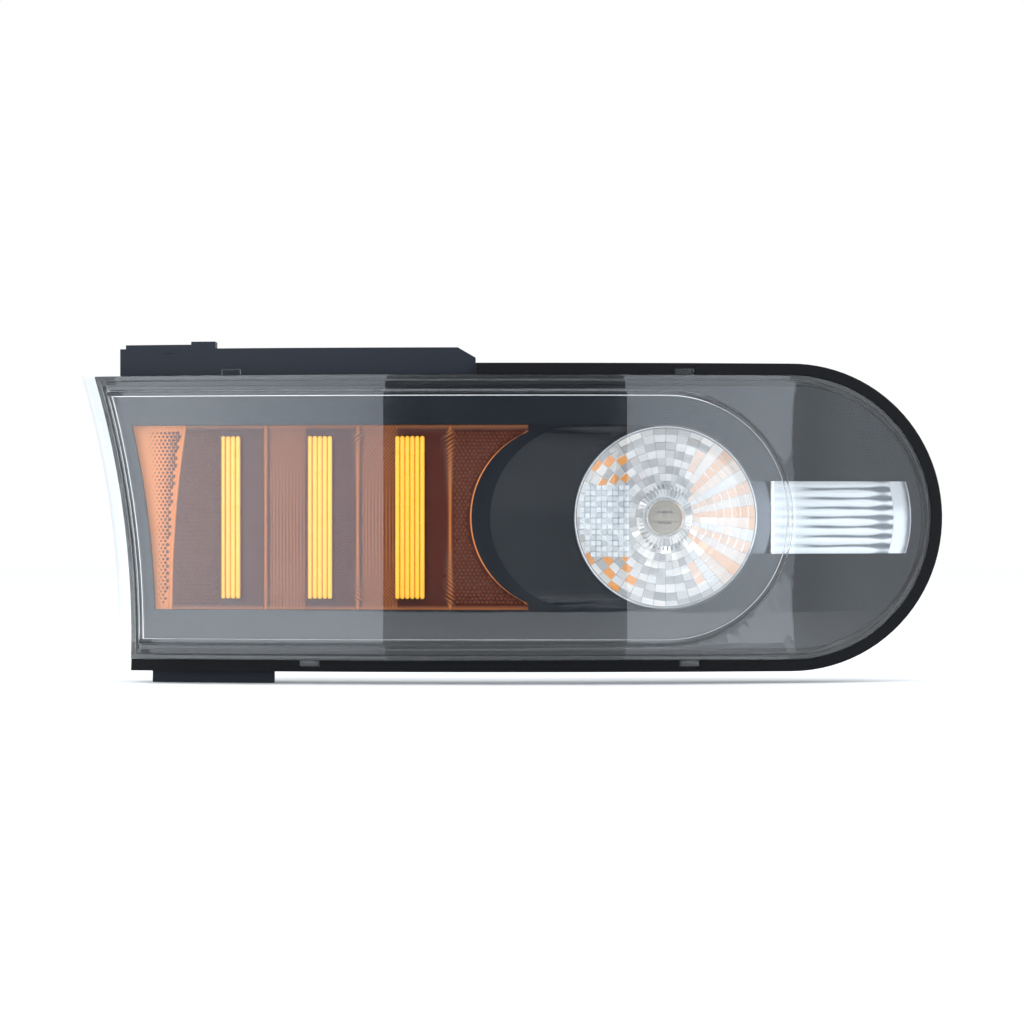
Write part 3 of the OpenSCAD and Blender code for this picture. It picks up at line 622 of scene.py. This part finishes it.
def build_pillow_block():
    """Block of small square pillows on the back of the crystal's left side."""
    pitch = bpy.context.scene.lamp_sizes.pillow_p
    depth = in_lamp("inner_lens")[0].y + 3.4 * MM
    columns, rows = 9, 13
    left, bottom = -43.5 * MM, -20 * MM
    size = (pitch * 0.88, 1.4 * MM, pitch * 0.88)
    bm = bmesh.new()
    lit = bm.verts.layers.float.new("lit")
    for column in range(columns):
        for row in range(rows):
            x, z = left + (column + 0.5) * pitch, bottom + (row + 0.5) * pitch
            r = math.hypot(x, z)
            if r > SLOT_R - 3.2 * MM:
                continue
            pillow = box_at(bm, size, (x, depth + dome(r), z))
            # painted light: each pillow is painted a fixed shade from grey to white, and glows
            for v in pillow:
                v[lit] = 0.3 + 0.5 * abs(math.sin(2.3 * column + 1.7 * row))
            round_edges(bm, all_edges(pillow), pitch * 0.16, 2)
    piece(bm, "crystal_pillows", "clear_optic", "inner_lens", "crystal_pillows", replaces=False)


def build_inner_lens():
    """Domed crystal over the turn signal, with radial flutes on its back."""
    front = in_lamp("inner_lens")[0].y
    radius = SLOT_R - 0.4 * MM
    rings, flutes, steps_per_flute = 36, 44, 8
    bm = bmesh.new()
    chain(bm, [(radius * i / rings, front + dome(radius * i / rings), 0) for i in range(rings + 1)])
    full_turn(bm, flutes * steps_per_flute)
    bmesh.ops.remove_doubles(bm, verts=bm.verts, dist=1e-6)
    face_forward(bm)
    bmesh.ops.solidify(bm, geom=bm.faces[:], thickness=CRYSTAL_T)
    for v in bm.verts:
        r = math.hypot(v.co.x, v.co.z)
        behind = v.co.y - front - dome(r) > CRYSTAL_T / 2
        # there are no flutes on the pillow block's side and in front of the bulb
        if behind and 10 * MM < r < radius - 1.2 * MM and v.co.x > -18 * MM:
            v.co.y += 0.05 * MM * abs(math.sin(math.atan2(v.co.z, v.co.x) * flutes / 2))
    piece(bm, "inner_lens_crystal", "clear_optic", "inner_lens", sharp=40)


def strip_end(z):
    """X where the strip's round end lies at a height."""
    return END_X + math.sqrt(max(0.0, STRIP_END_R ** 2 - z * z))


def build_strip():
    """Clear strip at the round end: wavy flutes in a tray, with painted white crests and painted grey shade in
    their grooves, under a clear cover.
    """
    sizes = bpy.context.scene.lamp_sizes
    start_x = in_lamp("strip_lens")[0].x
    floor_y, crest = 1 * MM, 2.6 * MM
    painted_white_until, almond_x, almond_w = 76 * MM, 111 * MM, 5.5 * MM
    half = STRIP_H + 1 * MM
    pitch = 2 * half / sizes.strip_flutes
    bm = bmesh.new()
    lit = bm.verts.layers.float.new("lit")
    bmesh.ops.create_grid(bm, x_segments=90, y_segments=sizes.strip_flutes * 12, size=0.5)
    for v in bm.verts:
        z = 2 * v.co.y * half
        x = start_x + (v.co.x + 0.5) * (strip_end(z) - 9 * MM - start_x)
        row = math.floor((z + half) / pitch)
        swell = 0.8 + 0.2 * math.sin(x * math.pi / (11 * MM) + row * 1.3)
        ridge = abs(math.sin((z + half) * math.pi / pitch))
        # the painted shade in the grooves widens to almond shapes before the end
        groove_shade = 0.22 + 0.5 * math.exp(-((x - almond_x) / almond_w) ** 2)
        groove_shade += 0.12 * math.sin(x * math.pi / (17 * MM) + row * 2.1)
        v.co = (x, floor_y - crest * ridge * swell + sag(x), z)
        # crests are painted white and glow, grooves are painted grey as shade
        v[lit] = min(1, max(0, (ridge - groove_shade) / 0.35))
        # the inner end is painted bright all over, a painted highlight
        v[lit] = max(v[lit], min(0.8, (painted_white_until - x) / (10 * MM)))
    face_forward(bm)
    give_wall(piece(bm, "strip_flutes", "silvered", "strip_reflector", "bright_flutes", replaces=False,
                    sharp=50), 1 * MM)
    dressed("strip_reflector", "strip_tray", "silvered", soft=0.2 * MM)
    dressed("strip_lens", "strip_cover", "clear_optic", soft=0.2 * MM)


def panel_bounds(z):
    """X of the amber panel's two edges at a height."""
    left = edge_x(z, WINDOW_EDGE + 0.3 * MM)
    bite = BITE_X - math.sqrt(max(0.0, SLOT_R ** 2 - z * z))
    return left, min(PANEL_END, bite)


def ridge_x(z):
    """X of the curved ridge near the inner edge."""
    return RIDGE_X + 7.3 * MM * ((z / SLOT_R + 1) / 2) ** 2


def build_amber_panel():
    """Amber panel: ridges between its louvres, fine flutes and a raised rim round its bite, with a painted
    highlight and glow on its ridges, flutes and edges.
    """
    sizes = bpy.context.scene.lamp_sizes
    half = SLOT_R - 0.3 * MM
    ridges = [STEP_X - i * LOUVRE_W for i in (2, 1, 0)]
    # this share of the columns lies between the inner edge and the curved ridge
    share = 0.12
    bm = bmesh.new()
    bmesh.ops.create_grid(bm, x_segments=420, y_segments=44, size=0.5)
    lit = bm.verts.layers.float.new("lit")
    for v in bm.verts:
        u, z = v.co.x + 0.5, 2 * v.co.y * half
        left, right = panel_bounds(z)
        curved = ridge_x(z)
        if u < share:
            x = left + (curved - left) * u / share
        else:
            x = curved + (right - curved) * (u - share) / (1 - share)
        depth, painted_highlight = 0.0, 0.0
        # each ridge is painted with a highlight, brightest on the curved ridge
        for at, width in [(curved, 1.4 * MM)] + [(r, 1.3 * MM) for r in ridges]:
            near = abs(x - at) / width
            if near < 1:
                bump = 0.5 + 0.5 * math.cos(math.pi * near)
                depth -= sizes.ridge_h * bump
                painted_highlight = max(painted_highlight, bump * (0.9 if at == curved else 0.55))
        # the strip beside the inner edge rises towards it, and is painted with a highlight
        if u < share:
            depth -= 0.7 * MM * (1 - u / share)
            painted_highlight = max(painted_highlight, 0.72)
        # fine flutes to the right of the two straight ridges nearest the inner edge, each with a painted highlight
        for at in ridges[:2]:
            if at + 2.5 * MM < x < at + 20 * MM:
                flute = abs(math.sin((x - at) * math.pi / sizes.flute_p))
                depth -= 0.3 * MM * flute
                painted_highlight = max(painted_highlight, 0.28 * flute)
        # raised rims round the bite, and along the top and bottom, painted with a highlight
        if right - x < 1.1 * MM and right < PANEL_END:
            painted_highlight = max(painted_highlight, 0.95)
            depth -= 0.6 * MM
        if half - abs(z) < 1.0 * MM:
            painted_highlight = max(painted_highlight, 0.32)
            depth -= 0.8 * MM
        v.co = (x, PANEL_Y + 0.1 * MM + depth + sag(x), z)
        v[lit] = painted_highlight
    face_forward(bm)
    give_wall(piece(bm, "amber_panel", "amber_plastic", "amber_lens", sharp=60), sizes.panel_t)


def in_reflex_zone(x, z):
    """Whether the amber panel has honeycomb at a place."""
    if abs(z) > SLOT_R - 2.5 * MM:
        return False
    left, right = panel_bounds(z)
    curved = ridge_x(z)
    zones = ((left + 2 * MM, curved - 2 * MM), (curved + 2.2 * MM, CELLS_END),
             (STEP_X + 2.5 * MM, right - 2.5 * MM))
    return any(start < x < end for start, end in zones)


def build_reflex_cells():
    """Honeycomb of low pointed cells that stands on the amber panel."""
    pitch = bpy.context.scene.lamp_sizes.cell_p
    row_pitch = pitch * 0.866
    bm = bmesh.new()
    lit = bm.verts.layers.float.new("lit")
    for row in range(int(2 * SLOT_R / row_pitch) + 1):
        z = -SLOT_R + row * row_pitch
        x = CELLS_START + (row % 2) * pitch / 2
        while x < PANEL_END:
            if in_reflex_zone(x, z):
                stand = Matrix.Translation((x, PANEL_Y + sag(x) - 0.25 * MM, z))
                stand @= Matrix.Rotation(math.pi / 2, 4, "X") @ Matrix.Rotation(math.pi / 6, 4, "Z")
                cell = bmesh.ops.create_cone(bm, cap_ends=True, cap_tris=False, segments=6,
                                             radius1=pitch * 0.56, radius2=pitch * 0.02, depth=0.6 * MM,
                                             matrix=stand)["verts"]
                # painted highlight: a faint bright point painted at each cell's tip
                for v in cell:
                    v.co.y += sag(v.co.x) - sag(x)
                    v[lit] = 0.10 if math.hypot(v.co.x - x, v.co.z - z) < pitch * 0.1 else 0.0
            x += pitch
    bmesh.ops.recalc_face_normals(bm, faces=bm.faces)
    piece(bm, "reflex_cells", "amber_plastic", "amber_lens", replaces=False, sharp=5)


def build_amber_bars():
    """The three fluted bars, each a row of round-ended ribs on a strip, with a painted highlight on the ribs'
    fronts and painted shade on their backs and on the strip.
    """
    pitch = bpy.context.scene.lamp_sizes.rib_p
    radius = pitch * 0.46
    plate_t = 2.6 * MM
    for name in ("inner", "middle", "outer"):
        node = "amber_bar_" + name
        low, high = in_lamp(node)
        bm = bmesh.new()
        lit = bm.verts.layers.float.new("lit")
        half = (high.z - low.z) / 2
        for k in range(round((high.x - low.x) / pitch)):
            x = low.x + (k + 0.5) * pitch
            rib = bmesh.ops.create_uvsphere(bm, u_segments=16, v_segments=9, radius=radius)["verts"]
            for v in rib:
                v.co.z += math.copysign(half - radius, v.co.z) if abs(v.co.z) > 1e-7 else 0
                # painted light: the front of each rib is painted bright and glows, its back is painted darker as
                # shade
                v[lit] = 1.0 if v.co.y < -radius * 0.3 else 0.25
            bmesh.ops.translate(bm, verts=rib, vec=(x, PANEL_Y - plate_t + sag(x), 0))
        # the strip behind the ribs keeps the painted shade colour, with no glow
        middle = (low.x + high.x) / 2
        box_at(bm, (high.x - low.x - 0.1 * MM, plate_t, 2 * half - 2.2 * MM),
               (middle, PANEL_Y - plate_t / 2 + sag(middle), 0))
        piece(bm, "fluted_bar_" + name, "yellow_optic", node, sharp=50)


# ---------- stage ----------

def area_light(name, at, towards, width, height, strength, colour=(1, 1, 1)):
    """A softbox; strength is its brightness, so its power grows with its area."""
    light = bpy.data.lights.new(name, "AREA")
    light.shape = "RECTANGLE"
    light.size, light.size_y = width, height
    light.energy = strength * math.pi * width * height
    light.color = colour
    lamp = bpy.data.objects.new(name, light)
    lamp.location = at
    lamp.rotation_euler = (at - towards).to_track_quat("Z", "Y").to_euler()
    bpy.context.scene.collection.objects.link(lamp)


def mirrored(x, target, away, reach):
    """Where the camera, looking at the raised face at x, sees a reflection at a distance from it."""
    place = Vector((x, sag(x) - FACE_H, 0)) + SHIFT
    lean = math.asin((x - WRAP_X) / WRAP_R)
    turn = 2 * lean - math.atan2(target.x - place.x, away)
    return place + Vector((math.sin(turn), -math.cos(turn), 0)) * reach


def build_floor(middle):
    """Pale round floor that reaches well behind the lamp."""
    bm = bmesh.new()
    bmesh.ops.create_circle(bm, cap_ends=True, segments=96, radius=4)
    bmesh.ops.translate(bm, verts=bm.verts, vec=(middle.x, middle.y + 2.1, FLOOR_Z))
    mesh = bpy.data.meshes.new("floor")
    bm.to_mesh(mesh)
    bm.free()
    mesh.materials.append(grained("pale_floor", (0.86, 0.86, 0.86), 0.7, grain=40, depth=0.001, spread=0.05,
                                  mottle=1.01))
    floor = bpy.data.objects.new("floor", mesh)
    bpy.context.scene.collection.objects.link(floor)


def build_room():
    """White to the camera and a cool, soft room to everything else, darker at the front."""
    world = bpy.data.worlds.new("studio")
    bpy.context.scene.world = world
    world.use_nodes = True
    nodes, links = world.node_tree.nodes, world.node_tree.links
    nodes.clear()
    output = nodes.new("ShaderNodeOutputWorld")
    seen = nodes.new("ShaderNodeBackground")
    seen.inputs["Color"].default_value = (1, 1, 1, 1)
    glowing = nodes.new("ShaderNodeBackground")
    glowing.inputs["Color"].default_value = (0.90, 0.95, 1, 1)
    way = nodes.new("ShaderNodeTexCoord")
    split = nodes.new("ShaderNodeSeparateXYZ")
    fade = nodes.new("ShaderNodeMapRange")
    fade.inputs["From Min"].default_value = -0.97
    fade.inputs["From Max"].default_value = -0.80
    fade.inputs["To Min"].default_value = 0.12
    fade.inputs["To Max"].default_value = 1.3
    light = nodes.new("ShaderNodeLightPath")
    either = nodes.new("ShaderNodeMixShader")
    links.new(way.outputs["Generated"], split.inputs[0])
    links.new(split.outputs["Y"], fade.inputs["Value"])
    # the room is dimmer in reflections than it is as light
    dim = nodes.new("ShaderNodeMath")
    dim.operation = "MULTIPLY_ADD"
    dim.inputs[1].default_value = -0.2
    dim.inputs[2].default_value = 1
    strength = nodes.new("ShaderNodeMath")
    strength.operation = "MULTIPLY"
    links.new(light.outputs["Is Glossy Ray"], dim.inputs[0])
    links.new(fade.outputs[0], strength.inputs[0])
    links.new(dim.outputs[0], strength.inputs[1])
    links.new(strength.outputs[0], glowing.inputs["Strength"])
    links.new(light.outputs["Is Camera Ray"], either.inputs[0])
    links.new(glowing.outputs[0], either.inputs[1])
    links.new(seen.outputs[0], either.inputs[2])
    links.new(either.outputs[0], output.inputs["Surface"])


def build_stage():
    """Pale floor, plain studio light and the camera."""
    scene = bpy.context.scene
    low, high = (Vector(corner) for corner in cad_bounds)
    middle = (low + high) / 2
    build_floor(middle)
    build_room()

    target = Vector((middle.x, SEAM_Y - FACE_H, middle.z))
    away = 2.7
    # each softbox is reflected in the raised face between two places along the lamp
    for name, first, last in (("softbox_left", -284 * MM, -142 * MM), ("softbox_right", -20 * MM, 66 * MM)):
        ends = [mirrored(x, target, away, 0.85) for x in (first, last)]
        width = ends[1] - ends[0]
        at = (ends[0] + ends[1]) / 2 + Vector((0, 0, 0.35))
        area_light(name, at, at - width.cross(Vector((0, 0, 1))), width.length, 0.95, 1.8, (0.82, 0.90, 1.0))
    area_light("top_light", target + Vector((0, -0.3, 1.7)), target, 2.2, 1.6, 1.6)

    camera = bpy.data.cameras.new("camera")
    camera.lens = 190
    camera.sensor_width = 36
    camera.clip_end = 50
    viewer = bpy.data.objects.new("camera", camera)
    viewer.location = target - Vector((0, away, 0))
    viewer.rotation_euler = (viewer.location - target).to_track_quat("Z", "Y").to_euler()
    scene.collection.objects.link(viewer)
    scene.camera = viewer
    scene.view_settings.view_transform = "Standard"


# ---------- operators ----------

class LampStep(Operator):
    bl_options = {"REGISTER", "UNDO"}


class LAMP_OT_finishes(LampStep):
    """Make the lamp's materials"""
    bl_idname = "lamp.finishes"
    bl_label = "Finishes"

    def execute(self, context):
        make_materials()
        return {"FINISHED"}


class LAMP_OT_housing(LampStep):
    """Finish the housing, its seal, the rim gasket and the two brackets"""
    bl_idname = "lamp.housing"
    bl_label = "Housing and brackets"

    def execute(self, context):
        dressed("housing", "housing_shell", "housing_plastic", soft=0.35 * MM)
        dressed("lens_seal", "lens_seal_bead", "butyl_seal", soft=0.3 * MM)
        dressed("rim_gasket", "rim_gasket_lip", "rim_rubber", soft=context.scene.lamp_sizes.gasket_round)
        dressed("upper_bracket", "upper_bracket_rail", "bracket_plastic", soft=0.5 * MM)
        dressed("lower_bracket", "lower_bracket_rail", "bracket_plastic", soft=0.5 * MM)
        return {"FINISHED"}


class LAMP_OT_outer_lens(LampStep):
    """Build the clear outer lens"""
    bl_idname = "lamp.outer_lens"
    bl_label = "Outer lens"

    def execute(self, context):
        build_outer_lens()
        return {"FINISHED"}


class LAMP_OT_bezel(LampStep):
    """Finish the gloss black bezel with its window, round scoop and strip window"""
    bl_idname = "lamp.bezel"
    bl_label = "Bezel"

    def execute(self, context):
        dressed("bezel", "bezel_face", "black_gloss", soft=0.6 * MM)
        return {"FINISHED"}


class LAMP_OT_turn_signal(LampStep):
    """Build the faceted turn-signal bowl and the crystal over it"""
    bl_idname = "lamp.turn_signal"
    bl_label = "Turn-signal optics"

    def execute(self, context):
        build_turn_reflector()
        build_turn_rim()
        build_inner_lens()
        build_pillow_block()
        return {"FINISHED"}


class LAMP_OT_strip(LampStep):
    """Build the clear strip and its fluted tray"""
    bl_idname = "lamp.strip"
    bl_label = "Clear strip"

    def execute(self, context):
        build_strip()
        return {"FINISHED"}


class LAMP_OT_side_marker(LampStep):
    """Build the amber panel, its honeycomb, the three bars and the tray behind"""
    bl_idname = "lamp.side_marker"
    bl_label = "Side marker"

    def execute(self, context):
        build_amber_panel()
        build_reflex_cells()
        build_amber_bars()
        dressed("marker_reflector", "marker_tray", "silvered", "marker_tray", soft=0.3 * MM)
        return {"FINISHED"}


class LAMP_OT_bulbs(LampStep):
    """Finish the two bulbs, their sockets, gaskets and terminals"""
    bl_idname = "lamp.bulbs"
    bl_label = "Bulbs and sockets"

    def execute(self, context):
        for side in ("turn", "marker"):
            dressed(side + "_socket", side + "_socket_body", "socket_plastic", soft=0.4 * MM)
            dressed(side + "_gasket", side + "_gasket_ring", "seal_rubber", soft=0.3 * MM)
            dressed(side + "_terminals", side + "_terminal_blades", "terminal_brass", soft=0.15 * MM)
        dressed("turn_bulb_base", "turn_bulb_foot", "bulb_base", soft=0.3 * MM)
        dressed("turn_bulb_glass", "turn_bulb", "bulb_glass", soft=0)
        dressed("turn_bulb_filaments", "turn_filaments", "filament_wire", soft=0)
        dressed("marker_bulb_glass", "marker_bulb", "bulb_glass", "marker_glass", soft=0)
        dressed("marker_bulb_filament", "marker_filament", "filament_wire", soft=0)
        return {"FINISHED"}


class LAMP_OT_fixings(LampStep):
    """Finish the screws, bushes, locating pin and vents"""
    bl_idname = "lamp.fixings"
    bl_label = "Fixings and vents"

    def execute(self, context):
        for place in ("bezel", "reflector", "bracket"):
            dressed(place + "_screws", place + "_screw_set", "zinc_screws", soft=0.15 * MM)
        dressed("bolt_bushes", "bolt_bush_set", "zinc_bush", soft=0.2 * MM)
        dressed("locating_pin", "locating_pin_stud", "nylon_pin", soft=0.3 * MM)
        dressed("vent_caps", "vent_cap_set", "vent_rubber", soft=0.5 * MM)
        dressed("vent_filters", "vent_filter_set", "filter_felt", soft=0.2 * MM)
        return {"FINISHED"}


class LAMP_OT_stage(LampStep):
    """Set up the floor, the light and the camera"""
    bl_idname = "lamp.stage"
    bl_label = "Stage"

    def execute(self, context):
        build_stage()
        return {"FINISHED"}


STEPS = (LAMP_OT_finishes, LAMP_OT_stage, LAMP_OT_housing, LAMP_OT_outer_lens, LAMP_OT_bezel,
         LAMP_OT_turn_signal, LAMP_OT_strip, LAMP_OT_side_marker, LAMP_OT_bulbs, LAMP_OT_fixings)


class LAMP_PT_pieces(Panel):
    """Lists the lamp's sizes, colours and pieces"""
    bl_idname = "LAMP_PT_pieces"
    bl_label = "Front corner lamp"
    bl_space_type = "VIEW_3D"
    bl_region_type = "UI"
    bl_category = "Lamp"

    def draw(self, context):
        for settings in (context.scene.lamp_sizes, context.scene.lamp_colours):
            box = self.layout.box()
            for name in settings.__annotations__:
                box.prop(settings, name)
        for step in STEPS:
            self.layout.operator(step.bl_idname)


CLASSES = (LampSizes, LampColours, *STEPS, LAMP_PT_pieces)


def register():
    for cls in CLASSES:
        bpy.utils.register_class(cls)
    bpy.types.Scene.lamp_sizes = PointerProperty(type=LampSizes)
    bpy.types.Scene.lamp_colours = PointerProperty(type=LampColours)


def unregister():
    del bpy.types.Scene.lamp_colours
    del bpy.types.Scene.lamp_sizes
    for cls in reversed(CLASSES):
        bpy.utils.unregister_class(cls)


def main():
    register()
    for step in STEPS:
        category, name = step.bl_idname.split(".")
        getattr(getattr(bpy.ops, category), name)()


if __name__ == "__main__":
    main()
